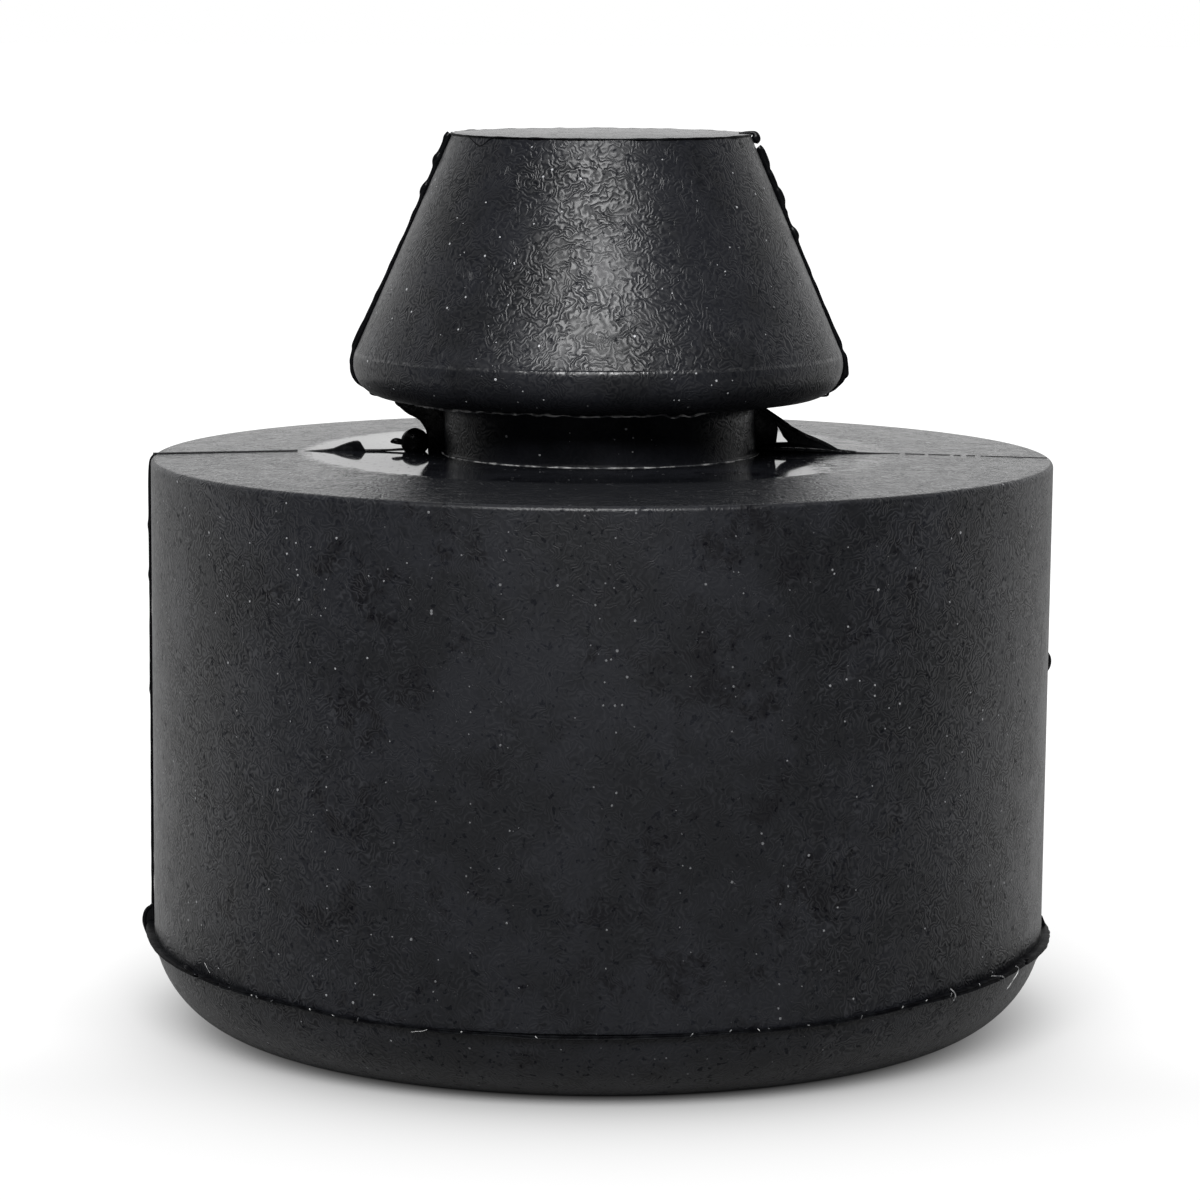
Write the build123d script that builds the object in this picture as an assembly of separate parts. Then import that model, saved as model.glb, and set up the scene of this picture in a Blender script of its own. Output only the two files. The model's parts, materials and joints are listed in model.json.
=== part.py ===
from build123d import *
import math
import os

# Rubber buffer with a push-in head, moulded in one piece, in millimetres with +Z up.
# It stands on its flat striking face with the head on top, and its axis is the Z axis.
# The mould had two side halves, which met in the XZ plane, and a bottom plate.
# Thin flash was left where they met, and it stays on the part.

# Drum
drum_radius = 25.0
drum_height = 31.7  # from the striking face to the rim of the shoulder
drum_rim_bevel = 0.25

# Foot, the rounded lower end that the bottom plate of the mould formed
foot_height = 4.4
foot_inset = 0.15  # how far its upper edge lies inside the drum's side
striking_face_radius = 19.2

# Shoulder: a very flat cone that ends in a level, polished seat round the neck
seat_radius = 16.4
seat_rise = 0.22

# Groove that holds the plate, between the seat and the head
neck_radius = 8.65
groove_height = 3.2

# Head, a cone that is pressed through the hole of the plate
head_height = 14.5
head_top_radius = 8.2
head_half_angle = 23.6
head_corner_radius = 1.8

# Flash along the parting plane, and how deep each piece of it is rooted in the body
flash_root = 0.6
fin_thickness = 0.25
drum_fin_proud = 0.13
head_fin_proud = 0.25

# Ring of flash between the drum and the foot, a little wider on the right
ring_thickness = 0.25
ring_proud = 0.4
ring_shift = 0.25

# Tabs at the two ends of the ring, as edges of (out from the side, up from the ring)
tab_thickness = 0.25
left_tab = [(0.55, 0), (0.75, 0.8), (0.6, 1.8)]
right_tab = [(0.75, 0), (0.62, 0.7), (0.2, 1.5)]

# Flat beads on the head's fins, as (depth below the top, radius, length), and one on the drum
bead_out = 0.18  # from the cone to the middle of a bead
left_beads = [(0.95, 0.27, 0.6), (2.5, 0.24, 0.6)]
right_beads = [(0.38, 0.37, 0.1), (1.0, 0.26, 1.3), (2.6, 0.21, 1.2), (4.0, 0.26, 0.9), (5.75, 0.22, 0.3)]
drum_bead_radius = 0.3
drum_bead_depth = 11.4  # below the rim of the shoulder

# Webs across the groove, as edges of (out from the neck, up from the seat)
web_thickness = 0.3
leaf_edge = [(-flash_root, 2.7), (0.2, 2.7), (1.7, 1.65), (3.4, 0.85), (4.5, 0.3), (5.6, 0.14)]
leaf_hole = [(1.3, 1.35), (1.2, 0.64), (1.8, 0.64)]
torn_edge_out = 2.1  # where the left web hangs from the underside
torn_edge = [(2.43, 2.51), (1.75, 2.03), (1.33, 1.68), (1.02, 1.21), (0.85, 0.9)]
low_fin_edge = [(0.8, 0.65), (2.55, 0.65), (2.85, 0.45), (2.85, 0.2), (4.4, 0.18)]
small_leaf_edge = [(4.35, 0.18), (4.6, 0.38), (4.9, 0.6), (5.4, 0.48), (6.2, 0.06)]

# Round lobe on the left web
lobe_radius = 0.8
lobe_thickness = 0.7
lobe_out = 1.6  # from the neck to its middle
lobe_height = 1.3

# Heights and radii that follow from the sizes above
seat_z = drum_height + seat_rise
underside_z = seat_z + groove_height
top_z = underside_z + head_height
head_slope = math.tan(math.radians(head_half_angle))
head_base_radius = head_top_radius + head_height * head_slope


def head_radius(z):
    """Radius of the head's cone at height z."""
    return head_top_radius + (top_z - z) * head_slope


def body():
    """The foot, drum, neck and head as one revolved profile of (radius, height)."""
    foot_start = (striking_face_radius, 0)
    foot_end = (drum_radius - foot_inset, foot_height)
    drum_edge = (drum_radius, foot_height)
    rim = (drum_radius, drum_height)
    seat_edge = (seat_radius, seat_z)
    neck_foot = (neck_radius, seat_z)
    neck_top = (neck_radius, underside_z)
    head_corner = (head_base_radius, underside_z)
    head_rim = (head_top_radius, top_z)
    with BuildSketch(Plane.XZ) as profile:
        with BuildLine():
            Line((0, 0), foot_start)
            TangentArc(foot_start, foot_end, tangent=(1, 0))
            Polyline(foot_end, drum_edge, rim, seat_edge, neck_foot, neck_top, head_corner, head_rim)
            Polyline(head_rim, (0, top_z), (0, 0))
        make_face()
        chamfer(profile.vertices().sort_by_distance(rim)[0], drum_rim_bevel)
        fillet(profile.vertices().sort_by_distance(head_corner)[0], head_corner_radius)
    return revolve(profile.sketch, Axis.Z)


def plate(points, side, radius, height, thickness, hole=None):
    """A flat plate in the parting plane, with points of (out, up) from a radius and a height."""
    with BuildSketch(Plane.XZ) as outline:
        with BuildLine():
            Polyline(*[(side * (radius + out), height + up) for out, up in points], close=True)
        make_face()
        if hole:
            with BuildLine():
                Polyline(*[(side * (radius + out), height + up) for out, up in hole], close=True)
            make_face(mode=Mode.SUBTRACT)
    return extrude(outline.sketch, thickness / 2, both=True)


def seat_plate(edge, side, thickness, hole=None):
    """A plate that stands on the seat under an edge."""
    points = [(edge[0][0], -flash_root), *edge, (edge[-1][0], -flash_root)]
    return plate(points, side, neck_radius, seat_z, thickness, hole)


def drum_fin(side):
    """The fin along the drum's side, from the foot to the rim."""
    length = drum_height - drum_rim_bevel - foot_height
    points = [(-flash_root, 0), (drum_fin_proud, 0), (drum_fin_proud, length), (-flash_root, length)]
    return plate(points, side, drum_radius, foot_height, fin_thickness)


def head_fin(side, beads):
    """The fin along one side of the head's cone, with beads drawn out down the cone."""
    low = underside_z + head_corner_radius * (1 + math.sin(math.radians(head_half_angle)))
    edges = [(-flash_root, low), (head_fin_proud, low), (head_fin_proud, top_z), (-flash_root, top_z)]
    down = Vector(side * head_slope, -1).normalized()
    with BuildSketch(Plane.XZ) as outline:
        with BuildLine():
            Polyline(*[(side * (head_radius(z) + out), z) for out, z in edges], close=True)
        make_face()
        for depth, radius, length in beads:
            z = top_z - depth
            middle = Vector(side * (head_radius(z) + bead_out), z) + down * (length / 2)
            with Locations(Location(middle, (0, 0, 90 + side * head_half_angle))):
                SlotCenterToCenter(length, 2 * radius)
    return extrude(outline.sketch, fin_thickness / 2, both=True)


def ring_flash():
    """The ring of flash, with a tab at each end."""
    ring = Pos(ring_shift, 0, foot_height) * Cylinder(drum_radius + ring_proud, ring_thickness)
    tabs = []
    for side, edge in [(-1, left_tab), (1, right_tab)]:
        points = [(-flash_root, edge[0][1]), *edge, (-flash_root, edge[-1][1])]
        tabs.append(plate(points, side, drum_radius, foot_height, tab_thickness))
    return [ring, *tabs]


def drum_bead():
    """The half bead on the right side of the drum."""
    with BuildSketch(Plane.XZ) as outline:
        with Locations((drum_radius, drum_height - drum_bead_depth)):
            Circle(drum_bead_radius)
    return extrude(outline.sketch, fin_thickness / 2, both=True)


def lobe():
    """The round lobe, an arch that stands on the seat."""
    with BuildSketch(Plane.XZ) as outline:
        with Locations((-neck_radius - lobe_out, seat_z + lobe_height - lobe_radius)):
            Circle(lobe_radius)
            Rectangle(2 * lobe_radius, lobe_height, align=(Align.CENTER, Align.MAX))
    return extrude(outline.sketch, lobe_thickness / 2, both=True)


def groove_flash():
    """The webs, fins and leaves that cross the groove and the seat in the parting plane."""
    hung_height = groove_height + flash_root
    hung_edge = [(-flash_root, hung_height), (torn_edge_out, hung_height), *torn_edge]
    return [
        seat_plate(leaf_edge, 1, web_thickness, leaf_hole),
        seat_plate(hung_edge, -1, web_thickness),
        seat_plate(low_fin_edge, -1, fin_thickness),
        seat_plate(small_leaf_edge, -1, web_thickness),
        lobe(),
    ]


flash = [drum_fin(-1), drum_bead(), head_fin(-1, left_beads), head_fin(1, right_beads)]
flash += [*ring_flash(), *groove_flash()]
rubber_buffer = body().fuse(*flash)

os.makedirs("parts", exist_ok=True)
export_step(rubber_buffer, "parts/rubber_buffer.step")
print("overall height", round(rubber_buffer.bounding_box().size.Z, 3))
print("solids", len(rubber_buffer.solids()), "volume", round(rubber_buffer.volume, 1))
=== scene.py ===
# %% [markdown]
# # A rubber buffer
# The part is one piece of moulded black rubber: a drum with a rounded foot, a shoulder with a polished
# seat, a neck, and a cone head that is pressed through a hole. The CAD frame holds its solid. Here it
# gets the skin that the camera sees, with small roundings, a wrinkled finish and the ragged flash that
# the mould left along its joints.

import json
import math
import random

import bmesh
import bpy
from mathutils import Matrix, Vector, noise


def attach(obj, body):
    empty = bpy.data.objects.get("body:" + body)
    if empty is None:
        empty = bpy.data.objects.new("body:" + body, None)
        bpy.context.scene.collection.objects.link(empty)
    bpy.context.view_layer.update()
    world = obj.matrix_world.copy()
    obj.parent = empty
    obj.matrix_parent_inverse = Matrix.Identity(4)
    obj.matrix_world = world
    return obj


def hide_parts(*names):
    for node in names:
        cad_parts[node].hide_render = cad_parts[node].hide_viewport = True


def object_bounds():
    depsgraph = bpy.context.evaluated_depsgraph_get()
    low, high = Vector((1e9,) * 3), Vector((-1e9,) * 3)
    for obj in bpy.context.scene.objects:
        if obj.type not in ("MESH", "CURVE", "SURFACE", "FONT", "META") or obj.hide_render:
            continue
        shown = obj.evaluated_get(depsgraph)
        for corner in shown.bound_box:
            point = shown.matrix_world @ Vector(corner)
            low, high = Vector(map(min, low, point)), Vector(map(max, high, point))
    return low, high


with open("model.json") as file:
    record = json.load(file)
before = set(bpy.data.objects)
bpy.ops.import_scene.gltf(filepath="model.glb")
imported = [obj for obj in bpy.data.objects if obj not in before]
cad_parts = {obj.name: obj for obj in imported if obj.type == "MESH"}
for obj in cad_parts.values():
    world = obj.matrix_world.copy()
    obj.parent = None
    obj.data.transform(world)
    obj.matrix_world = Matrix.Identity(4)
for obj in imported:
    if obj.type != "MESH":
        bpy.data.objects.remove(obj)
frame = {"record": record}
cad_low, cad_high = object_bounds()
MM = 0.001
print("CAD box in mm", [round(size / MM, 2) for size in cad_high - cad_low])

# %% [markdown]
# The sizes come from the frame where it holds them: the seat's height and the neck from the mounts,
# the top from the box. The others are the driving sizes of the solid, so the skin lies where it does.
# Only the edge of the head has sizes of its own, because in front it has a ledge that the solid
# leaves out.

# %% Sizes in millimetres
mounts = {mount["name"]: mount for mount in frame["record"]["mounts"]}
seat_z = mounts["seat"]["pos_m"][2] / MM
neck_radius = mounts["neck"]["dims"]["r_mm"]
groove_height = mounts["neck"]["dims"]["length_mm"]
underside_z = seat_z + groove_height
top_z = cad_high.z / MM

striking_face_radius = 19.2
drum_radius = 25.0
foot_height = 4.4
foot_inset = 0.15
drum_height = 31.7
seat_radius = 16.4
head_top_radius = 8.2
head_half_angle = math.radians(23.6)
head_slope = math.tan(head_half_angle)

head_cone_height = 12.17
head_corner_radius = 2.05
head_widest_radius = 13.7
ledge_z = top_z - head_cone_height
corner_middle_z = underside_z + head_corner_radius
corner_middle_radius = head_widest_radius - head_corner_radius
print("seat", round(seat_z, 2), "underside", round(underside_z, 2), "top", round(top_z, 2))

# %% [markdown]
# ## Camera
# The photograph was taken from close by and a little above the top of the head. Its lines fit a
# camera 270 mm in front of the axis that looks down by 7.5 degrees and leans by a quarter of a degree.
# The focal length is the one at which the drum fills the picture as it does there.

# %% Camera
camera_place = Vector((0.0628, -270.0, 59.256)) * MM
camera_down = 0.1312
camera_lean = 0.0046
bpy.ops.object.select_all(action="DESELECT")
bpy.ops.object.camera_add()
camera = bpy.context.object
camera.name = "camera"
camera.data.lens = 146.22
camera.data.sensor_width = 36.0
camera.data.clip_start = 0.01
turn = Matrix.Rotation(math.pi / 2 - camera_down, 4, "X") @ Matrix.Rotation(camera_lean, 4, "Z")
camera.matrix_world = Matrix.Translation(camera_place) @ turn
bpy.context.scene.camera = camera
bpy.context.scene.view_settings.view_transform = "Standard"
print("camera looks down by", round(math.degrees(camera_down), 1), "degrees")

# %% [markdown]
# ## Colours and nodes
# A colour picked on a screen is an sRGB value, and shaders work with linear light, so one function
# turns hex codes into linear colours. A second one adds a node with its settings and links, which
# keeps each material readable from top to bottom. A MapRange takes its input 0 from the range of 1 to
# 2 to the range of 3 to 4, which is 0 to 1 where it isn't given. A Mix goes from its input 2 to 3, or
# with colours from 6 to 7, as its input 0 goes from 0 to 1. The patterns are laid on a place in
# millimetres, so their scale is in cells per millimetre.

# %% Colour and node helpers
def colour(code):
    """Linear RGBA of an sRGB hex code."""
    parts = [int(code[i:i + 2], 16) / 255 for i in (1, 3, 5)]
    linear = [p / 12.92 if p <= 0.04045 else ((p + 0.055) / 1.055) ** 2.4 for p in parts]
    return (*linear, 1.0)


def add_node(tree, kind, inputs, output=0, **settings):
    """Adds a node and returns one output. An input given as a socket is linked, and as a value is set."""
    node = tree.nodes.new("ShaderNode" + kind)
    for name, value in settings.items():
        setattr(node, name, value)
    for name, value in inputs.items():
        if isinstance(value, bpy.types.NodeSocket):
            tree.links.new(value, node.inputs[name])
        else:
            node.inputs[name].default_value = value
    return node.outputs[output]


def new_material(name):
    """An empty node material and its main shader."""
    material = bpy.data.materials.new(name)
    material.use_nodes = True
    return material, material.node_tree, material.node_tree.nodes["Principled BSDF"]


# %% [markdown]
# ## Rubber
# The mould gave the rubber a fine wrinkle, like skin on paint: bundles of short, curly ridges, two or
# three tenths of a millimetre apart. It is bump only, because no outline shows it.
# The seat was pressed by a polished steel face and mirrors what stands on it. It is picked out by
# radius, height and facing, and on the right the polish ends earlier.

# %% Where the rubber is polished
polish_end, polish_full = seat_radius + 0.5, seat_radius - 0.7
polished_x, dull_x, right_share = 11.0, 13.5, 0.25

rubber, tree, shader = new_material("moulded_black_rubber")
place = add_node(tree, "TexCoord", {}, "Object")
mm = add_node(tree, "VectorMath", {0: place, "Scale": 1 / MM}, operation="SCALE")
facing = add_node(tree, "TexCoord", {}, "Normal")
x_mm = add_node(tree, "SeparateXYZ", {0: mm}, "X")
y_mm = add_node(tree, "SeparateXYZ", {0: mm}, "Y")
z_mm = add_node(tree, "SeparateXYZ", {0: mm}, "Z")
normal_z = add_node(tree, "SeparateXYZ", {0: facing}, "Z")
across = add_node(tree, "CombineXYZ", {0: x_mm, 1: y_mm})
radius_mm = add_node(tree, "VectorMath", {0: across}, "Value", operation="LENGTH")
smooth = {"interpolation_type": "SMOOTHSTEP"}
upward = add_node(tree, "MapRange", {0: normal_z, 1: 0.85, 2: 0.97}, **smooth)
above_seat = add_node(tree, "Math", {0: z_mm, 1: seat_z}, operation="SUBTRACT")
off_seat = add_node(tree, "Math", {0: above_seat}, operation="ABSOLUTE")
near_seat = add_node(tree, "MapRange", {0: off_seat, 1: 0.3, 2: 0.2}, **smooth)
inside = add_node(tree, "MapRange", {0: radius_mm, 1: polish_end, 2: polish_full}, **smooth)
on_seat = add_node(tree, "Math", {0: near_seat, 1: inside}, operation="MULTIPLY")
to_the_right = {0: x_mm, 1: polished_x, 2: dull_x, 3: 1.0, 4: right_share}
seat_right = add_node(tree, "MapRange", to_the_right, **smooth)
level_seat = add_node(tree, "Math", {0: on_seat, 1: upward}, operation="MULTIPLY")
polished = add_node(tree, "Math", {0: level_seat, 1: seat_right}, operation="MULTIPLY")
unpolished = add_node(tree, "Math", {0: 1.0, 1: polished}, operation="SUBTRACT")

# %% [markdown]
# Each cell of a Voronoi pattern is one bundle, with a direction and a pitch of its own. A wave that
# runs along it makes the parallel ridges, and the space is bent by a noise first, so that they curl.

# %% Ridges
finest_pitch, coarsest_pitch = 0.17, 0.3
bundles_per_mm = 1.5
curls_per_mm, curl_reach = 1.7, 0.9

curve = add_node(tree, "TexNoise", {"Vector": mm, "Scale": curls_per_mm, "Detail": 1.0}, "Color")
bend = add_node(tree, "VectorMath", {0: curve, "Scale": curl_reach}, operation="SCALE")
bent = add_node(tree, "VectorMath", {0: mm, 1: bend}, operation="ADD")
bundles = add_node(tree, "TexVoronoi", {"Vector": bent, "Scale": bundles_per_mm}, "Color")
turned = add_node(tree, "VectorMath", {0: bundles, 1: (0.5, 0.5, 0.5)}, operation="SUBTRACT")
along = add_node(tree, "VectorMath", {0: turned}, operation="NORMALIZE")
step = add_node(tree, "VectorMath", {0: bent, 1: along}, "Value", operation="DOT_PRODUCT")
bundle_random = add_node(tree, "SeparateXYZ", {0: bundles}, "X")
fine_wave, coarse_wave = 2 * math.pi / finest_pitch, 2 * math.pi / coarsest_pitch
wave = add_node(tree, "MapRange", {0: bundle_random, 3: fine_wave, 4: coarse_wave})
phase = add_node(tree, "Math", {0: step, 1: wave}, operation="MULTIPLY")
ridges = add_node(tree, "Math", {0: phase}, operation="SINE")

# %% [markdown]
# The ridges are strong in some places and faint in others. The rounded edge of the head has few,
# because the mould's maker turned it smooth, and the drum is rubbed smooth towards its middle.
# wrinkle is for the bump, and ridge_lines, which keeps more of the fine contrast, is for the shine.

# %% Where the ridges are strong
patches_per_mm = 0.6
rubbed_x, unrubbed_x = 7.0, 16.0
rubbed_share, unrubbed_share = 0.3, 0.75
edge_share, cone_share, level_share = 0.4, 0.72, 1.1
drum_top = seat_z + 0.2

on_drum = add_node(tree, "MapRange", {0: z_mm, 1: drum_top + 0.1, 2: drum_top}, **smooth)
patches = add_node(tree, "TexNoise", {"Vector": mm, "Scale": patches_per_mm, "Detail": 1.0})
amount = add_node(tree, "MapRange", {0: patches, 1: 0.35, 2: 0.6, 3: 0.5, 4: 1.0}, **smooth)
above_corner = add_node(tree, "MapRange", {0: z_mm, 1: ledge_z - 0.05, 2: ledge_z + 0.05}, **smooth)
on_head = add_node(tree, "MapRange", {0: above_corner, 3: edge_share, 4: cone_share})
off_middle = add_node(tree, "Math", {0: x_mm}, operation="ABSOLUTE")
from_middle = {0: off_middle, 1: rubbed_x, 2: unrubbed_x, 3: rubbed_share, 4: unrubbed_share}
unrubbed = add_node(tree, "MapRange", from_middle, **smooth)
on_sides = add_node(tree, "Mix", {0: on_drum, 2: on_head, 3: unrubbed})
on_all = add_node(tree, "Mix", {0: upward, 2: on_sides, 3: level_share})
strength = add_node(tree, "Math", {0: amount, 1: on_all}, operation="MULTIPLY")
open_strength = add_node(tree, "Math", {0: strength, 1: unpolished}, operation="MULTIPLY")
wrinkle = add_node(tree, "Math", {0: ridges, 1: open_strength}, operation="MULTIPLY")
contrast = add_node(tree, "Mix", {0: on_drum, 2: 1.0, 3: unrubbed})
open_contrast = add_node(tree, "Math", {0: contrast, 1: unpolished}, operation="MULTIPLY")
line_strength = add_node(tree, "Math", {0: amount, 1: open_contrast}, operation="MULTIPLY")
ridge_lines = add_node(tree, "Math", {0: ridges, 1: line_strength}, operation="MULTIPLY")

# %% [markdown]
# Dust is one dot in some of the cells of a Voronoi pattern, and those with a random value below the
# limit stay bare. The head has more dust than the drum, and what faces up has most.

# %% Dust
dust_cell = 0.5
widest_dot = 0.18
bare_drum, bare_head, bare_top = 0.5, 0.42, 0.36

cells = add_node(tree, "TexVoronoi", {"Vector": mm, "Scale": 1 / dust_cell}, "Distance")
cell_random = cells.node.outputs["Color"]
up_the_sides = {0: z_mm, 1: seat_z, 2: underside_z, 3: bare_drum, 4: bare_head}
bare_sides = add_node(tree, "MapRange", up_the_sides, **smooth)
bare = add_node(tree, "Mix", {0: upward, 2: bare_sides, 3: bare_top})
widest_in_cell = widest_dot / 2 / dust_cell
dot_radius = add_node(tree, "MapRange", {0: cell_random, 1: bare, 2: 0.9, 3: 0.0, 4: widest_in_cell})
from_dot = add_node(tree, "Math", {0: cells, 1: dot_radius}, operation="SUBTRACT")
dust = add_node(tree, "MapRange", {0: from_dot, 1: 0.0, 2: -0.05}, **smooth)

# %% [markdown]
# The black is a little blue and a little cloudy, as bloom on rubber is. The drum has darker stains, and
# in places the crests of its wrinkles are painted paler: a painted highlight where they catch the light.
# What faces up is paler too.

# %% Colour
clouds_per_mm, stains_per_mm, lit_crest_places_per_mm = 0.16, 0.3, 0.8

large = {"Vector": mm, "Scale": clouds_per_mm, "Detail": 6.0, "Roughness": 0.72}
cloud = add_node(tree, "TexNoise", large)
bloom = add_node(tree, "MapRange", {0: cloud, 1: 0.4, 2: 0.6}, **smooth)
cloudy = add_node(tree, "Mix", {0: bloom, 6: colour("#121316"), 7: colour("#1b1c20")}, 2, data_type="RGBA")
blotchy = {"Vector": mm, "Scale": stains_per_mm, "Detail": 6.0, "Roughness": 0.75}
stains = add_node(tree, "TexNoise", blotchy)
stained = add_node(tree, "MapRange", {0: stains, 1: 0.53, 2: 0.63}, **smooth)
drum_stained = add_node(tree, "Math", {0: stained, 1: on_drum}, operation="MULTIPLY")
black = add_node(tree, "Mix", {0: drum_stained, 6: cloudy, 7: colour("#0b0b0f")}, 2, data_type="RGBA")
open_top = add_node(tree, "Math", {0: upward, 1: unpolished}, operation="MULTIPLY")
paler_facing_up = add_node(tree, "Mix", {0: open_top, 6: black, 7: colour("#1d1e21")}, 2, data_type="RGBA")
# Painted highlight: in places the crests of the drum's wrinkles are painted paler, where they catch the
# light.
crests = add_node(tree, "MapRange", {0: ridges, 1: 0.65, 2: 1.0}, **smooth)
places = add_node(tree, "TexNoise", {"Vector": mm, "Scale": lit_crest_places_per_mm, "Detail": 2.0})
in_places = add_node(tree, "MapRange", {0: places, 1: 0.35, 2: 0.65}, **smooth)
crest_highlight_places = add_node(tree, "Math", {0: crests, 1: in_places}, operation="MULTIPLY")
drum_share = add_node(tree, "Math", {0: on_drum, 1: unrubbed}, operation="MULTIPLY")
drum_crest_highlights = add_node(tree, "Math", {0: crest_highlight_places, 1: drum_share}, operation="MULTIPLY")
crest_highlighted = add_node(tree, "Mix", {0: drum_crest_highlights, 6: paler_facing_up, 7: colour("#2e2f33")}, 2, data_type="RGBA")
settled = add_node(tree, "Math", {0: dust, 1: contrast}, operation="MULTIPLY")
dusty = add_node(tree, "Mix", {0: settled, 6: crest_highlighted, 7: colour("#a4a5a8")}, 2, data_type="RGBA")
tree.links.new(dusty, shader.inputs["Base Color"])

# %% [markdown]
# The moulded rubber has a satin gloss, what faces up is a little smoother, and the polished seat is
# almost a mirror. The wrinkles and the grains of dust are raised by the bump.

# %% Roughness and bump
rough_side, cloudy_side, rough_top, rough_seat = 0.4, 0.36, 0.26, 0.06
wrinkle_height = 0.012

by_cloud = {0: cloud, 1: 0.35, 2: 0.65, 3: rough_side, 4: cloudy_side}
side_roughness = add_node(tree, "MapRange", by_cloud, **smooth)
open_roughness = add_node(tree, "Mix", {0: upward, 2: side_roughness, 3: rough_top})
roughness = add_node(tree, "Mix", {0: polished, 2: open_roughness, 3: rough_seat})
tree.links.new(roughness, shader.inputs["Roughness"])
grains = add_node(tree, "Math", {0: dust, 1: 2.0}, operation="MULTIPLY")
height = add_node(tree, "Math", {0: wrinkle, 1: grains}, operation="ADD")
bump = add_node(tree, "Bump", {"Height": height, "Distance": wrinkle_height * MM, "Strength": 1.0})
tree.links.new(bump, shader.inputs["Normal"])

# %% [markdown]
# The valleys of the wrinkles shine less than the crests, because the crests hide them from the light,
# and small pits shine less too. What faces up shines more, most of all the top of the head, and the
# lip over the head's rounded edge is bright in places. Little light reaches the neck deep in the
# groove, so its middle hardly shines.

# %% Shine
bits_per_mm = 3.0
valley_shine, crest_shine, lip_shine = 0.12, 0.54, 0.9
pit_share, open_top_share, head_top_share = 0.2, 1.5, 2.0
groove_light_x, groove_dark_x, groove_shade = 8.4, 4.6, 0.92
lip_z = ledge_z + 0.05

by_lines = {0: ridge_lines, 1: -1.0, 2: 1.0, 3: valley_shine, 4: crest_shine}
line_shine = add_node(tree, "MapRange", by_lines)
bits = add_node(tree, "TexNoise", {"Vector": mm, "Scale": bits_per_mm, "Detail": 2.0})
pits = add_node(tree, "MapRange", {0: bits, 1: 0.62, 2: 0.68, 3: 1.0, 4: pit_share}, **smooth)
pitted_shine = add_node(tree, "Math", {0: line_shine, 1: pits}, operation="MULTIPLY")
top_share = add_node(tree, "MapRange", {0: open_top, 3: 1.0, 4: open_top_share})
top_shine = add_node(tree, "Math", {0: pitted_shine, 1: top_share}, operation="MULTIPLY")
under_head = add_node(tree, "MapRange", {0: z_mm, 1: underside_z + 0.5, 2: underside_z}, **smooth)
above_bead = add_node(tree, "MapRange", {0: z_mm, 1: seat_z + 0.05, 2: seat_z + 0.15}, **smooth)
in_groove = add_node(tree, "Math", {0: under_head, 1: above_bead}, operation="MULTIPLY")
to_the_middle = {0: off_middle, 1: groove_light_x, 2: groove_dark_x, 3: 0.0, 4: groove_shade}
shaded = add_node(tree, "MapRange", to_the_middle, **smooth)
deep = add_node(tree, "Math", {0: in_groove, 1: shaded}, operation="MULTIPLY")
lit_share = add_node(tree, "Math", {0: 1.0, 1: deep}, operation="SUBTRACT")
groove_shine = add_node(tree, "Math", {0: top_shine, 1: lit_share}, operation="MULTIPLY")
up_to_the_top = {0: z_mm, 1: top_z - 0.1, 2: top_z - 0.02, 3: 1.0, 4: head_top_share}
head_share = add_node(tree, "MapRange", up_to_the_top)
head_shine = add_node(tree, "Math", {0: groove_shine, 1: head_share}, operation="MULTIPLY")
off_lip = add_node(tree, "Math", {0: z_mm, 1: lip_z}, operation="SUBTRACT")
from_lip = add_node(tree, "Math", {0: off_lip}, operation="ABSOLUTE")
lip = add_node(tree, "MapRange", {0: from_lip, 1: 0.12, 2: 0.04}, **smooth)
lit_bits = add_node(tree, "MapRange", {0: bits, 1: 0.42, 2: 0.62, 3: 0.1, 4: 1.0}, **smooth)
lit_lip = add_node(tree, "Math", {0: lip, 1: lit_bits}, operation="MULTIPLY")
shine = add_node(tree, "Math", {0: lit_lip, 1: lip_shine, 2: head_shine}, operation="MULTIPLY_ADD")
tree.links.new(shine, shader.inputs["Specular IOR Level"])
shader.inputs["IOR"].default_value = 1.5
print("rubber nodes", len(tree.nodes))

# %% [markdown]
# ## Flash
# Flash is rubber that was squeezed into the joints of the mould. It is the same rubber, but it was
# drawn thin and never touched the wrinkled steel, so it is smooth and has small, sharp glints.

# %% Flash material
waves_per_mm, wave_height = 2.5, 0.03

flash_rubber, tree, shader = new_material("glossy_rubber_flash")
place = add_node(tree, "TexCoord", {}, "Object")
mm = add_node(tree, "VectorMath", {0: place, "Scale": 1 / MM}, operation="SCALE")
waves = add_node(tree, "TexNoise", {"Vector": mm, "Scale": waves_per_mm, "Detail": 2.0})
black = add_node(tree, "Mix", {0: waves, 6: colour("#050506"), 7: colour("#0e0f11")}, 2, data_type="RGBA")
tree.links.new(black, shader.inputs["Base Color"])
roughness = add_node(tree, "MapRange", {0: waves, 1: 0.3, 2: 0.7, 3: 0.16, 4: 0.28}, **smooth)
tree.links.new(roughness, shader.inputs["Roughness"])
bump = add_node(tree, "Bump", {"Height": waves, "Distance": wave_height * MM, "Strength": 1.0})
tree.links.new(bump, shader.inputs["Normal"])
shader.inputs["IOR"].default_value = 1.5
shader.inputs["Specular IOR Level"].default_value = 0.12
print("flash nodes", len(tree.nodes))

# %% [markdown]
# The other two kinds of flash are mottled. A noise takes such a rubber from a dark colour to a pale
# one and raises its surface too, and one function makes both from it.

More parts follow.
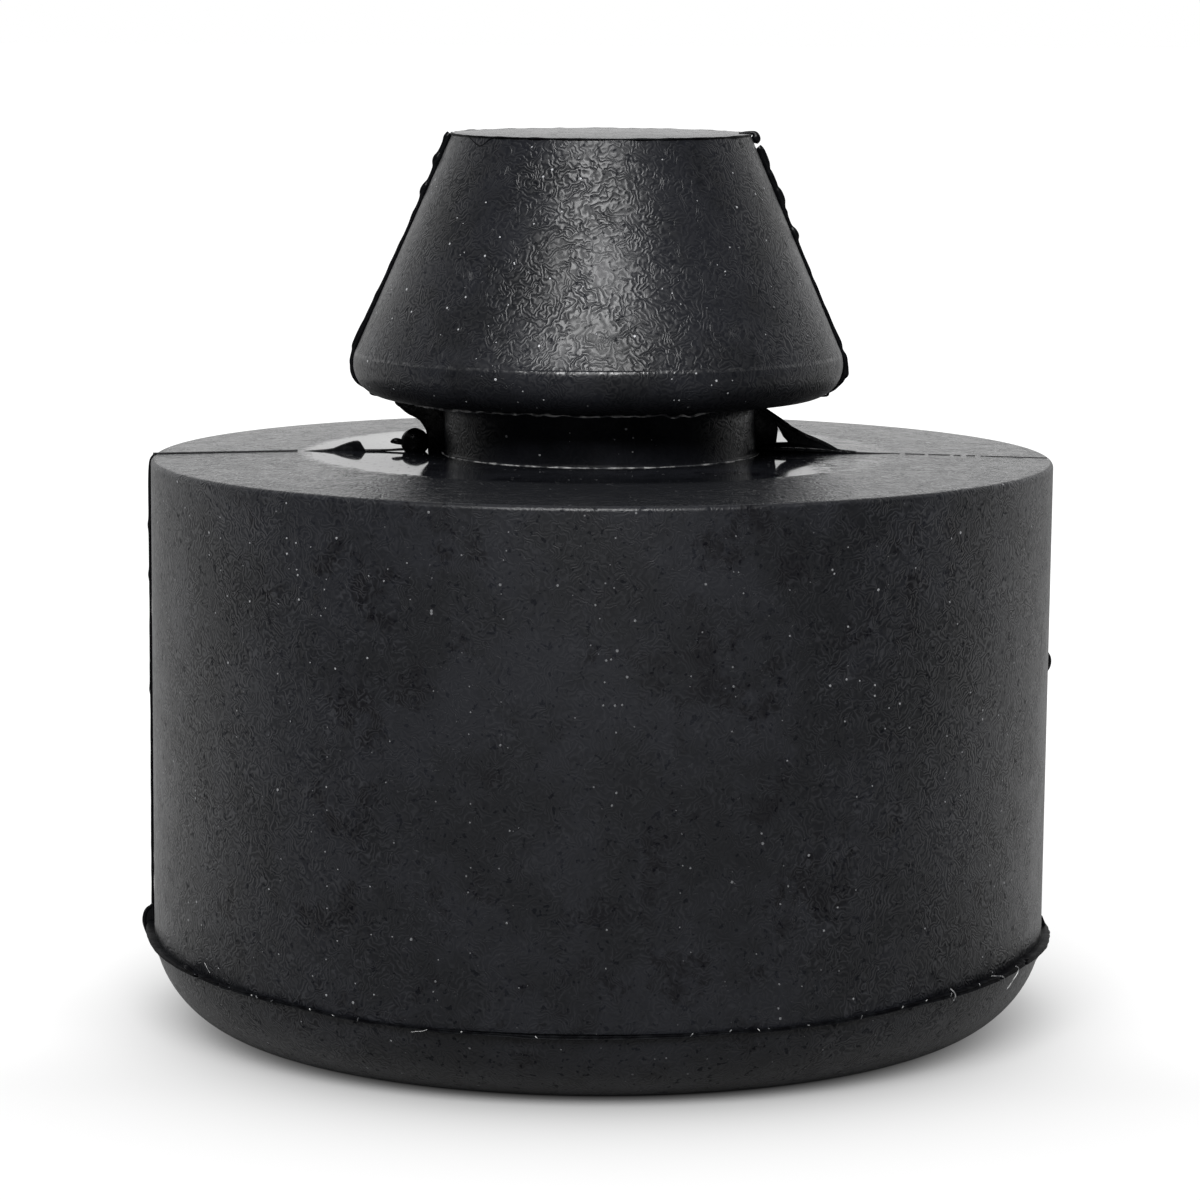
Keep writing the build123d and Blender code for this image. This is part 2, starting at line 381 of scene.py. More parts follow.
# %% Mottled rubber helper
def mottled_rubber(name, per_mm, pale_above, dark, pale, bump_height):
    """A mottled material and its main shader. Its noise has a scale per mm, and its bump is in mm."""
    material, tree, shader = new_material(name)
    place = add_node(tree, "TexCoord", {}, "Object")
    mm = add_node(tree, "VectorMath", {0: place, "Scale": 1 / MM}, operation="SCALE")
    mottles = add_node(tree, "TexNoise", {"Vector": mm, "Scale": per_mm, "Detail": 3.0})
    spread = add_node(tree, "MapRange", {0: mottles, 1: 0.4, 2: pale_above}, **smooth)
    mixed = add_node(tree, "Mix", {0: spread, 6: colour(dark), 7: colour(pale)}, 2, data_type="RGBA")
    tree.links.new(mixed, shader.inputs["Base Color"])
    bump = add_node(tree, "Bump", {"Height": mottles, "Distance": bump_height * MM, "Strength": 1.0})
    tree.links.new(bump, shader.inputs["Normal"])
    print(name, len(tree.nodes), "nodes")
    return material, shader


# %% [markdown]
# The ring round the foot is thicker flash, with a dull black surface that mirrors almost nothing,
# even where it is seen edge on.

# %% Dull flash material
dull_rubber, shader = mottled_rubber("dull_rubber_flash", 1.8, 0.65, "#050507", "#101113", 0.05)
shader.inputs["Roughness"].default_value = 0.5
shader.inputs["Specular IOR Level"].default_value = 0.04

# %% [markdown]
# Where the flash was torn off, its edge is frayed and full of fine fibres and dust, which scatter
# the light. Its pale colour is partly that dust and partly a painted highlight, pale enough to read
# bright in the shade of the groove. That reads as a pale, broken line against the black.

# %% Torn edge material
# Partly painted highlight: the pale colour is dust, and also the light that torn edges catch, painted in.
torn_rubber_painted_bright, shader = mottled_rubber("dusty_torn_rubber", 1.6, 0.6, "#3c3d40", "#b4b4b4", 0.1)
shader.inputs["Roughness"].default_value = 0.6

# %% [markdown]
# ## Modelling helpers
# Every piece starts as one vertex that is drawn out into a line, as with a pen, and the line becomes
# a surface by spinning it round the axis or by pulling it out. Operators act on all that is
# selected, so everything is deselected before a new piece starts.

# %% Start a piece and draw a line
def start_line(name, points):
    """A new piece drawn as a line through points in millimetres. It is left in edit mode."""
    points = [Vector(point) * MM for point in points]
    if bpy.context.object and bpy.context.object.mode == "EDIT":
        bpy.ops.object.mode_set(mode="OBJECT")
    bpy.ops.object.select_all(action="DESELECT")
    bpy.ops.mesh.primitive_plane_add(size=MM, location=points[0])
    piece = bpy.context.object
    piece.name = name
    piece.data.name = name
    bpy.ops.object.transform_apply(location=True, rotation=False, scale=False)
    bpy.ops.object.mode_set(mode="EDIT")
    bpy.ops.mesh.merge(type="CENTER")
    for start, end in zip(points, points[1:]):
        bpy.ops.mesh.extrude_vertices_move(TRANSFORM_OT_translate={"value": end - start})
    return piece


def select_where(piece, test):
    """In edit mode, selects the vertices whose place in millimetres passes a test."""
    bpy.ops.mesh.select_mode(type="VERT")
    bpy.ops.mesh.select_all(action="DESELECT")
    mesh = bmesh.from_edit_mesh(piece.data)
    for vertex in mesh.verts:
        if test(vertex.co / MM):
            vertex.select_set(True)
    mesh.select_flush_mode()
    bmesh.update_edit_mesh(piece.data)


def dress(piece, material):
    """Gives a finished piece its material and tells the frame what it is."""
    piece.data.materials.clear()
    piece.data.materials.append(material)
    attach(piece, "root")
    print(piece.name, len(piece.data.polygons), "faces")


# %% [markdown]
# ## Skin
# The body is round, so its skin is a profile that is drawn as a line and then spun round the axis.
# The foot is the arc that the bottom plate of the mould gave it. The edge of the head is an arc too,
# and where it meets the cone, two tools of the mould left a tiny ledge. Below the ledge the side
# turns away from the light at once.

# %% Draw the profile
foot_radius = drum_radius - foot_inset
foot_arc_radius = ((foot_radius - striking_face_radius) ** 2 + foot_height ** 2) / (2 * foot_height)
foot_arc_end = math.asin((foot_radius - striking_face_radius) / foot_arc_radius)
foot_steps = 20
foot_arc = []
for step in range(foot_steps + 1):
    angle = foot_arc_end * step / foot_steps
    out = striking_face_radius + foot_arc_radius * math.sin(angle)
    foot_arc.append((out, 0, foot_arc_radius * (1 - math.cos(angle))))


def cone_radius(z):
    """Radius of the head's cone at a height."""
    return head_top_radius + (top_z - z) * head_slope


corners = {
    "drum foot": (drum_radius - 0.06, 0, foot_height),
    "rim": (drum_radius + 0.08, 0, drum_height),
    "neck foot": (neck_radius, 0, seat_z),
    "neck top": (neck_radius, 0, underside_z),
    "head rim": (head_top_radius + 0.05, 0, top_z),
}
corner_start = math.asin((ledge_z - corner_middle_z) / head_corner_radius)
corner_steps = 18
corner_arc = []
for step in range(corner_steps + 1):
    angle = -math.pi / 2 + (corner_start + math.pi / 2) * step / corner_steps
    out = corner_middle_radius + head_corner_radius * math.cos(angle)
    corner_arc.append((out, 0, corner_middle_z + head_corner_radius * math.sin(angle)))
cone_start_z = ledge_z + 0.9
ledge = [
    (corner_arc[-1][0] - 0.035, 0, ledge_z + 0.08),
    (cone_radius(ledge_z + 0.15) + 0.06, 0, ledge_z + 0.15),
    (cone_radius(cone_start_z), 0, cone_start_z),
]
rim_start = (head_top_radius + 0.06, 0, top_z - 0.13)
profile = [
    (0, 0, 0), *foot_arc, corners["drum foot"], corners["rim"], (seat_radius, 0, seat_z),
    corners["neck foot"], corners["neck top"], *corner_arc, *ledge, rim_start,
    corners["head rim"], (0, 0, top_z),
]
skin = start_line("buffer_skin", profile)
print("profile", len(profile), "points")

# %% [markdown]
# Each corner is rounded with a vertex bevel while the profile is still a line, because the real mould
# has small radii there: a sharp rim would show no highlight. A spin then doubles the points on the
# axis and at the seam, so the doubles are merged and the faces turned outwards.

# %% Round its corners and spin it
roundings = {
    "rim": (0.3, 8), "neck foot": (0.2, 4), "neck top": (0.9, 8), "head rim": (0.04, 3),
    "drum foot": (0.03, 2),
}


def round_corner(piece, corner, radius, steps):
    """Rounds one corner of a drawn line to a radius. All values are in millimetres."""
    point = Vector(corner)
    select_where(piece, lambda place: (place - point).length < 0.001)
    mesh = bmesh.from_edit_mesh(piece.data)
    vertex = next(v for v in mesh.verts if v.select)
    first, second = [edge.other_vert(vertex).co - vertex.co for edge in vertex.link_edges]
    reach = radius / math.tan(first.angle(second) / 2)
    bpy.ops.mesh.bevel(offset=reach * MM, segments=steps, affect="VERTICES")


for name, (radius, steps) in roundings.items():
    round_corner(skin, corners[name], radius, steps)
bpy.ops.mesh.select_all(action="SELECT")
bpy.ops.mesh.spin(steps=360, angle=2 * math.pi, center=(0, 0, 0), axis=(0, 0, 1))
bpy.ops.mesh.select_all(action="SELECT")
bpy.ops.mesh.remove_doubles(threshold=0.001 * MM)
bpy.ops.mesh.normals_make_consistent(inside=False)
bpy.ops.object.mode_set(mode="OBJECT")
print("skin", len(skin.data.vertices), "points")

# %% [markdown]
# The real one isn't quite round and straight, so the points are moved a little. The ledge stays in
# front only and fades into the smooth edge of the solid on both sides, the left side of the drum lies
# a little further in, and all of it sways off its axis.

# %% Make it a little uneven
def sway(z):
    """How far the part stands off its axis at a height: it isn't quite straight, as soft rubber is."""
    stations = [(-1, -0.06), (0, -0.06), (drum_height, 0.08), (underside_z, -0.12), (top_z + 1, 0.03)]
    for start, end in zip(stations, stations[1:]):
        if z <= end[0]:
            return start[1] + (end[1] - start[1]) * (z - start[0]) / (end[0] - start[0])


cast_corner_radius = 1.8
cast_middle_z = underside_z + cast_corner_radius
cast_middle_radius = cone_radius(cast_middle_z) - cast_corner_radius / math.cos(head_half_angle)
cast_end_z = cast_middle_z + cast_corner_radius * math.sin(head_half_angle)


def cast_radius(z):
    """Radius of the head at a height where its edge has no ledge and runs smoothly into the cone."""
    if z > cast_end_z:
        return cone_radius(z)
    return cast_middle_radius + math.sqrt(max(0, cast_corner_radius ** 2 - (z - cast_middle_z) ** 2))


def eased(low, high, value):
    """0 below low, 1 above high and a smooth step between."""
    share = max(0.0, min(1.0, (value - low) / (high - low)))
    return share * share * (3 - 2 * share)


left_shift = 0.13
ledge_from, ledge_to = (238, 252), (276, 290)
for vertex in skin.data.vertices:
    x, y, z = vertex.co / MM
    radius = math.hypot(x, y)
    if radius > corner_middle_radius - 0.01 and underside_z - 0.01 < z < cone_start_z + 0.05:
        angle = math.degrees(math.atan2(y, x)) % 360
        front = eased(*ledge_from, angle) * (1 - eased(*ledge_to, angle))
        radius_here = radius * front + cast_radius(z) * (1 - front)
        x, y = x * radius_here / radius, y * radius_here / radius
    if x < 0 and z < drum_height + 0.3:
        x += left_shift * (x / drum_radius) ** 4
    vertex.co = Vector((x + sway(z), y, z)) * MM
bpy.ops.object.shade_smooth_by_angle(angle=math.radians(25))
dress(skin, rubber)
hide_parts("rubber_buffer")

# %% [markdown]
# ## Threads of flash
# Most flash is a thin fin with a thick, lumpy edge. Each one is a thread in the parting plane: a line
# that is turned into a curve, given a radius at each point and turned back into a mesh. A curve
# rounds its own bends, so the lumps run into each other as they do in rubber.

# %% Thread helpers
def strand(name, points, material, flatness=1.0):
    """A strand through points of (x, y, z, radius) in millimetres, flattened towards the parting plane."""
    piece = start_line(name, [point[:3] for point in points])
    bpy.ops.object.mode_set(mode="OBJECT")
    bpy.ops.object.convert(target="CURVE")
    piece = bpy.context.object
    spline = piece.data.splines[0]
    for knot in spline.points:
        nearest = min(points, key=lambda point: (Vector(point[:3]) * MM - knot.co.xyz).length)
        knot.radius = nearest[3]
    spline.type = "NURBS"
    spline.order_u = 3
    spline.use_endpoint_u = True
    spline.resolution_u = 4
    piece.data.bevel_depth = MM
    piece.data.bevel_resolution = 3
    piece.data.use_fill_caps = True
    bpy.ops.object.convert(target="MESH")
    piece = bpy.context.object
    bpy.ops.object.mode_set(mode="EDIT")
    bpy.ops.mesh.select_all(action="SELECT")
    bpy.ops.mesh.remove_doubles(threshold=0.0002 * MM)
    bpy.ops.mesh.normals_make_consistent(inside=False)
    bpy.ops.transform.resize(value=(1, flatness, 1), center_override=(0, 0, 0))
    bpy.ops.object.mode_set(mode="OBJECT")
    bpy.ops.object.shade_smooth_by_angle(angle=math.radians(50))
    dress(piece, material)


def thread(name, points, flatness=0.8):
    """A thread of flash in the parting plane through points of (x, z, radius)."""
    strand(name, [(x, 0, z, radius) for x, z, radius in points], flash_rubber, flatness)


def uneven(points, spacing, amount, seed):
    """Adds points between those of a thread, with radii that vary by a share."""
    dice = random.Random(seed)
    full = []
    for start, end in zip(points, points[1:]):
        length = math.dist(start[:2], end[:2])
        count = max(1, round(length / spacing))
        for step in range(count):
            share = step / count
            x, z, radius = [a + (b - a) * share for a, b in zip(start, end)]
            full.append((x, z, radius * (1 + dice.uniform(-amount, amount))))
    return [*full, points[-1]]


def head_radius(z):
    """Radius of the head at a height, on its cone or on its rounded edge."""
    if z > ledge_z:
        return cone_radius(z)
    return corner_middle_radius + math.sqrt(max(0, head_corner_radius ** 2 - (z - corner_middle_z) ** 2))


# %% [markdown]
# ### Fins up the drum and the head
# The two side halves of the mould met here. The fins stand a tenth of a millimetre proud of the drum
# and a few tenths of the head, but against the white they draw the black edge of the part. Where
# rubber gathered they have beads.

# %% Drum fins
left_drum_fin = [
    (-24.9, 4.5, 0.12), (-25.0, 5.2, 0.1), (-25.05, 6.2, 0.09), (-25.04, 18.2, 0.08), (-25.06, 18.45, 0.12),
    (-25.05, 18.8, 0.09), (-25.05, 24.6, 0.08), (-25.07, 24.95, 0.13), (-25.05, 25.3, 0.09),
    (-25.06, 27.4, 0.09), (-25.06, 27.75, 0.15), (-25.04, 28.1, 0.1), (-25.02, 30.9, 0.12),
    (-24.95, 31.55, 0.1), (-24.7, 31.72, 0.07),
]
thread("drum_fin_left", uneven(left_drum_fin, 0.5, 0.12, seed=3))
drum_bead = [
    (25.0, 19.6, 0.05), (25.06, 19.8, 0.14), (25.1, 20.1, 0.25), (25.1, 20.5, 0.25), (25.04, 20.8, 0.12),
    (25.0, 21.0, 0.05),
]
thread("drum_bead_right", drum_bead)

# %% Head fins
def head_fin(side, stations, tail, seed):
    """Thread points down one side of the head from (height, how proud it stands), then its tail."""
    points = []
    for z, proud in stations:
        reach = max(0.05, (head_radius(z) + proud - cast_radius(z)) / 2)
        points.append((side * (cast_radius(z) + reach) + sway(z), z, reach + 0.02))
    return uneven([*points, *tail], 0.5, 0.06, seed)


left_head_fin = [
    (49.58, 0.3), (49.4, 0.42), (49.1, 0.32), (48.65, 0.31), (48.4, 0.36), (48.2, 0.45), (48.0, 0.44),
    (47.75, 0.26), (47.4, 0.22), (46.95, 0.22), (46.75, 0.32), (46.5, 0.41), (46.3, 0.36), (46.05, 0.22),
    (45.5, 0.19), (45.1, 0.25), (44.6, 0.19), (43.9, 0.18), (43.4, 0.22), (42.9, 0.2), (42.3, 0.25),
    (41.9, 0.21), (40.95, 0.24), (40.65, 0.3), (40.2, 0.27), (39.2, 0.29), (38.95, 0.33), (37.8, 0.34),
    (37.6, 0.2), (37.0, 0.12), (36.75, 0.11), (36.45, 0.21), (36.1, 0.25), (35.75, 0.25), (35.55, 0.12),
    (35.3, 0.12),
]
left_tail = [
    (-12.75, 35.15, 0.08), (-12.4, 35.1, 0.13), (-12.1, 35.1, 0.07), (-11.85, 35.08, 0.12),
    (-11.65, 35.12, 0.06), (-11.5, 35.06, 0.1), (-11.2, 35.1, 0.06),
]
thread("head_fin_left", head_fin(-1, left_head_fin, left_tail, seed=5))
right_head_bead = [
    (7.6, 49.64, 0.05), (8.0, 49.68, 0.09), (8.35, 49.68, 0.1), (8.5, 49.6, 0.2), (8.55, 49.4, 0.28),
    (8.58, 49.2, 0.24), (8.56, 49.08, 0.1),
]
thread("head_bead_right", right_head_bead)
right_head_fin = [
    (48.9, 0.3), (48.8, 0.4), (48.45, 0.44), (48.0, 0.43), (47.8, 0.36), (47.63, 0.28), (47.45, 0.35),
    (46.9, 0.35), (46.64, 0.32), (46.47, 0.41), (46.25, 0.45), (45.95, 0.42), (45.7, 0.3), (45.5, 0.24),
    (45.3, 0.28), (45.1, 0.2), (44.5, 0.19), (44.33, 0.33), (44.1, 0.38), (43.95, 0.36), (43.75, 0.2),
    (42.9, 0.18), (42.1, 0.22), (41.7, 0.15), (41.3, 0.2), (40.2, 0.18), (39.8, 0.22), (39.2, 0.2),
    (38.0, 0.26), (37.7, 0.14), (37.35, 0.12), (37.0, 0.17), (36.7, 0.25), (36.5, 0.32), (36.35, 0.41),
    (36.2, 0.3), (36.0, 0.33), (35.8, 0.28), (35.55, 0.3), (35.35, 0.25),
]
right_tail = [(12.7, 35.13, 0.07), (12.1, 35.11, 0.05), (11.0, 35.1, 0.06), (9.5, 35.08, 0.06)]
thread("head_fin_right", head_fin(1, right_head_fin, right_tail, seed=6))

# %% [markdown]
# ### Flash in the groove
# In the groove the flash is widest, because the two halves of the mould had the most to fill there.
# On the left a torn web hangs from the head over a round lobe and a rod that runs out over the seat.
# On the right a leaf with a rolled edge spans from the head to the seat, with a hole where it tore.

# %% Plate helper
def plate(name, outline, thickness, rounding):
    """A thin plate in the parting plane from an outline of (x, z) in millimetres, with a rounded edge."""
    piece = start_line(name, [(x, -thickness / 2, z) for x, z in outline])
    bpy.ops.mesh.select_all(action="SELECT")
    bpy.ops.mesh.edge_face_add()
    bpy.ops.mesh.extrude_region_move(TRANSFORM_OT_translate={"value": (0, thickness * MM, 0)})
    bpy.ops.mesh.select_all(action="SELECT")
    bpy.ops.mesh.normals_make_consistent(inside=False)
    bpy.ops.object.mode_set(mode="OBJECT")
    soften = piece.modifiers.new("round_edge", "BEVEL")
    soften.width = rounding * MM
    soften.segments = 3
    soften.limit_method = "ANGLE"
    bpy.ops.object.modifier_apply(modifier=soften.name)
    bpy.ops.object.shade_smooth_by_angle(angle=math.radians(40))
    dress(piece, flash_rubber)


# %% Left side of the groove
torn_web = [
    (-11.35, 34.55), (-11.1, 34.38), (-10.85, 34.15), (-10.6, 33.98), (-10.25, 33.82), (-9.98, 33.62),
    (-9.83, 33.4), (-9.66, 33.1), (-9.58, 32.6), (-9.55, 31.8), (-8.4, 31.8), (-8.4, 35.2), (-11.6, 35.2),
]
plate("web_left", torn_web, 0.3, 0.09)
lobe_x, lobe_z, lobe_radius = -10.27, 32.45, 0.8
lobe_steps = 8
lobe = []
for step in range(lobe_steps + 1):
    angle = math.pi * (0.03 + 0.94 * step / lobe_steps)
    lobe.append((lobe_x, lobe_z + lobe_radius * math.cos(angle), lobe_radius * math.sin(angle)))
thread("lobe_left", lobe, flatness=0.6)
nub = [(-10.9, 32.4, 0.14), (-11.2, 32.5, 0.2), (-11.5, 32.5, 0.16), (-11.62, 32.42, 0.06)]
thread("nub_left", nub, flatness=0.9)
rod = [
    (-9.9, 32.1, 0.09), (-11.0, 32.04, 0.08), (-11.7, 31.99, 0.065), (-12.5, 31.97, 0.07),
    (-13.2, 31.96, 0.08),
]
thread("rod_left", rod, flatness=0.8)
leaf = [
    (-17.2, 31.84), (-16.0, 31.97), (-15.3, 32.02), (-14.8, 32.1), (-14.4, 32.27), (-13.98, 32.42),
    (-13.7, 32.5), (-13.45, 32.52), (-13.3, 32.44), (-13.2, 32.26), (-13.02, 31.98), (-13.02, 31.8),
    (-17.2, 31.75),
]
plate("leaf_left", leaf, 0.24, 0.08)
thread("crest_left", [(-16.8, 31.92, 0.07), (-18.0, 31.89, 0.065), (-24.85, 31.73, 0.065)])

# %% Right side of the groove
post = [
    (8.4, 31.8), (9.84, 31.8), (9.84, 32.6), (9.92, 33.25), (9.85, 33.6), (9.6, 34.0), (9.0, 34.5),
    (8.4, 34.9),
]
plate("post_right", post, 0.3, 0.09)
leaf = [
    (9.45, 34.1), (10.36, 33.5), (10.95, 33.13), (11.37, 32.93), (12.02, 32.69), (12.71, 32.39),
    (13.21, 32.1), (14.2, 31.95), (14.2, 31.8), (9.6, 31.8), (9.6, 32.52), (10.48, 32.55), (10.2, 32.85),
    (9.98, 33.28), (9.6, 33.8),
]
plate("leaf_right", leaf, 0.2, 0.06)
rolled_edge = [
    (8.5, 34.75, 0.16), (9.45, 34.12, 0.16), (10.36, 33.5, 0.17), (10.6, 33.36, 0.11), (10.95, 33.12, 0.17),
    (11.4, 32.9, 0.14), (12.02, 32.66, 0.15), (12.71, 32.36, 0.13), (13.1, 32.16, 0.1), (13.3, 32.08, 0.07),
    (13.9, 32.04, 0.07), (14.3, 31.98, 0.06),
]
thread("rolled_edge_right", rolled_edge, flatness=1.2)
strip = [
    (9.0, 32.2, 0.25), (10.0, 32.22, 0.3), (11.2, 32.18, 0.26), (12.4, 32.1, 0.2), (13.3, 32.0, 0.12),
    (14.3, 31.95, 0.06),
]
thread("strip_right", strip, flatness=1.3)
thread("crest_right", [(14.2, 31.96, 0.06), (15.5, 31.92, 0.05), (16.7, 31.9, 0.05)])
shoulder_slope = (seat_z - drum_height) / (drum_radius - seat_radius)
crest_parts = [(17.0, 18.1), (18.3, 19.5), (19.7, 20.1), (20.4, 20.9), (21.2, 24.9)]
for number, (start, end) in enumerate(crest_parts, 2):
    start_z, end_z = [drum_height + (drum_radius - x) * shoulder_slope for x in (start, end)]
    thread(f"crest_right_{number}", [(start, start_z, 0.04), (end, end_z, 0.045)])

# %% [markdown]
# ### Ragged rings
# The bottom plate of the mould met the side halves in a ring just above the foot. Such a ring is a
# small section spun round the axis, then pulled out and up point by point, as a sculptor would. What
# it does at each angle is given as stations, and a noise makes it ragged in between.

# %% Ring helper
def between(stations, angle):
    """Values at an angle in degrees, read between stations of (angle, value, value, ...)."""
    for start, end in zip(stations, stations[1:]):
        if start[0] <= angle <= end[0]:
            share = (angle - start[0]) / (end[0] - start[0])
            return [a + (b - a) * share for a, b in zip(start[1:], end[1:])]


def ragged(angle, grains, seed):
    """A smooth random value from -1 to 1 round a ring, with about as many bumps as grains."""
    turn = math.radians(angle)
    reach = grains / (2 * math.pi)
    place = Vector((reach * math.cos(turn), reach * math.sin(turn), seed * 7.3))
    return max(-1.0, min(1.0, 1.6 * noise.noise(place)))


def spun_ring(name, section, radius, steps, shape, material):
    """Spins a section of (out, up) round the axis. shape(angle, out, up) gives its place at an angle."""
    ring = start_line(name, [(radius + out, 0, up) for out, up in [*section, section[0]]])
    bpy.ops.mesh.select_all(action="SELECT")
    bpy.ops.mesh.spin(steps=steps, angle=2 * math.pi, center=(0, 0, 0), axis=(0, 0, 1))
    bpy.ops.mesh.select_all(action="SELECT")
    bpy.ops.mesh.remove_doubles(threshold=0.0005 * MM)
    bpy.ops.mesh.normals_make_consistent(inside=False)
    bpy.ops.object.mode_set(mode="OBJECT")
    for vertex in ring.data.vertices:
        place = vertex.co / MM
        angle = math.degrees(math.atan2(place.y, place.x)) % 360
        out, up = shape(angle, math.hypot(place.x, place.y) - radius, place.z)
        turn = math.radians(angle)
        reach = radius + out
        vertex.co = Vector((reach * math.cos(turn), reach * math.sin(turn), up)) * MM
    bpy.ops.object.shade_smooth_by_angle(angle=math.radians(60))
    dress(ring, material)


# %% [markdown]
# The big ring has two lips with a shallow channel between them. On the right it is turned up into a
# band, on the left it is a rod, and in front it is no more than a dark line. Its stations give how
# proud it stands, half its height and its level, which rises from the front to both sides, as the
# joint of the mould did. A few narrow cuts show where it tore.

# %% Ring at the foot
ring_section = [
    (-2.0, 0.9), (0.3, 1.0), (0.85, 0.92), (1.0, 0.66), (0.84, 0.4), (0.8, 0.0), (0.84, -0.4), (1.0, -0.66),
    (0.85, -0.92), (0.3, -1.0), (-2.0, -0.9),
]
ring_stations = [
    (0, 0.38, 0.15, 5.1), (60, 0.2, 0.1, 4.6), (120, 0.2, 0.1, 4.6), (175, 0.3, 0.12, 5.2),
    (190, 0.32, 0.11, 5.2), (196, 0.3, 0.1, 5.05), (206, 0.28, 0.1, 4.92), (212, 0.28, 0.11, 4.9),
    (218, 0.24, 0.11, 4.8), (225, 0.17, 0.09, 4.71), (231, 0.16, 0.08, 4.66), (238, 0.13, 0.07, 4.45),
    (246, 0.12, 0.08, 4.34), (262, 0.12, 0.1, 4.24), (270, 0.12, 0.1, 4.25), (280, 0.12, 0.1, 4.3),
    (286, 0.12, 0.09, 4.39), (292, 0.12, 0.09, 4.35), (300, 0.12, 0.08, 4.43), (306, 0.14, 0.08, 4.56),
    (310, 0.17, 0.09, 4.68), (313.5, 0.22, 0.11, 4.76), (319, 0.3, 0.14, 4.84), (323, 0.32, 0.14, 4.85),
    (326, 0.36, 0.17, 4.94), (328.5, 0.34, 0.13, 4.94), (332, 0.36, 0.14, 5.02), (336, 0.38, 0.16, 5.12),
    (341, 0.4, 0.17, 5.16), (347, 0.4, 0.17, 5.18), (354, 0.4, 0.16, 5.15), (360, 0.38, 0.15, 5.1),
]
ring_cuts = [
    (211.4, 0.3), (216.4, 0.35), (219.2, 0.3), (223.0, 0.3), (282.0, 0.3), (318.6, 0.25), (329.2, 0.35),
    (337.2, 0.3),
]


def foot_ring(angle, out, up):
    """Place of a point of the ring at the foot, from its share of the ring's width and height."""
    proud, half, level = between(ring_stations, angle)
    torn = 0.5 + 0.5 * max(-1, min(1, 4 * ragged(angle, 9, 7)))
    torn *= 1.0 if 225 < angle < 312 else 0.3
    proud *= 1 + (0.04 + 0.14 * torn) * ragged(angle, 150, 1)
    half *= 1 + (0.05 + 0.25 * torn) * ragged(angle, 230, 2)
    level += 0.02 * ragged(angle, 120, 3)
    for middle, reach in ring_cuts:
        if abs(angle - middle) < reach:
            proud *= 0.45
    return out * proud, level + up * half


spun_ring("ring_flash", ring_section, drum_radius, 1080, foot_ring, dull_rubber)

# %% [markdown]
# Two finer rings lie in the groove: a bead where the neck meets the seat, and a frayed edge that
# hangs from the underside of the head, where an insert of the mould ended. It shows in front only, and
# elsewhere it lies inside the head. Both are of the torn rubber with its painted highlight. A third is a
# fine dark ring round the top of the head, painted shade: a dark line put where the rim's edge is in shade.

# %% Finer rings
round_section = []
for angle in range(0, 360, 60):
    turn = math.radians(angle)
    round_section.append((math.cos(turn), math.sin(turn)))


def neck_bead(angle, out, up):
    """Place of a point of the bead at the foot of the neck."""
    size = 0.042 * (1 + 0.6 * ragged(angle, 90, 11))
    return 0.14 + 0.05 * ragged(angle, 40, 12) + out * size, seat_z + 0.02 + up * size


fray_from, fray_to = (200, 212), (293, 303)


def frayed_edge(angle, out, up):
    """Place of a point of the frayed edge under the head."""
    size = 0.065 * (1 + 0.5 * ragged(angle, 130, 14))
    hang = (0.15 + 0.1 * ragged(angle, 110, 15)) * eased(*fray_from, angle) * (1 - eased(*fray_to, angle))
    if not fray_from[0] < angle < fray_to[1]:
        hang = -0.1
    return 0.25 * ragged(angle, 14, 16) + out * size, underside_z - hang + up * size


def rim_shade_line(angle, out, up):
    """Place of a point of the fine dark ring round the top of the head, a line of painted shade on its rim.
    """
    size = 0.06 * (1 + 0.5 * ragged(angle, 60, 17))
    return 0.06 + out * size, top_z - 0.05 + up * size


# Painted shade: a fine dark ring stands in for the shade on the edge of the head's rim.
spun_ring("rim_flash", round_section, head_top_radius, 300, rim_shade_line, dull_rubber)
# Partly painted highlight: the bead and the frayed edge are of the pale torn rubber.
spun_ring("neck_bead", round_section, neck_radius, 360, neck_bead, torn_rubber_painted_bright)
spun_ring("underside_flash", round_section, 11.3, 420, frayed_edge, torn_rubber_painted_bright)

# %% [markdown]
# ### Tabs at the ends of the ring
# Where three joints of the mould met, more rubber came out. On the left it made a small loop with a
# thin skin inside, on the right a tab.

# %% Tabs
loop = [
    (-25.0, 6.3, 0.09), (-25.12, 6.12, 0.1), (-25.36, 5.97, 0.12), (-25.5, 5.7, 0.12), (-25.55, 5.28, 0.13),
    (-25.46, 4.92, 0.12), (-25.34, 4.6, 0.12), (-25.2, 4.35, 0.14),
]
thread("tab_left_rim", loop, flatness=0.9)
loop_skin = [(x, z) for x, z, radius in loop]
plate("tab_left_skin", [(-24.8, 6.3), *loop_skin, (-24.8, 4.7)], 0.08, 0.02)
tab = [
    (24.9, 5.95), (25.08, 5.78), (25.22, 5.43), (25.32, 5.05), (25.35, 4.7), (25.3, 4.4), (25.2, 4.2),
    (24.9, 3.9),
]
plate("tab_right", tab, 0.22, 0.09)

# %% [markdown]
# ### Fibres and crumbs
# Where the flash tore, thin fibres curl away from the edge and pale crumbs stay in the cracks. They
# are strands too, of the dusty torn rubber with its painted highlight, laid on the side of the drum by
# angle and height. A dark flake lies on the ring at the left.

# %% Fibres and crumbs
def drum_points(stations):
    """Strand points on the drum's side from (angle, height, out, radius)."""
    points = []
    for angle, z, out, radius in stations:
        turn = math.radians(angle)
        reach = drum_radius + out
        points.append((reach * math.cos(turn) + sway(z), reach * math.sin(turn), z, radius))
    return points


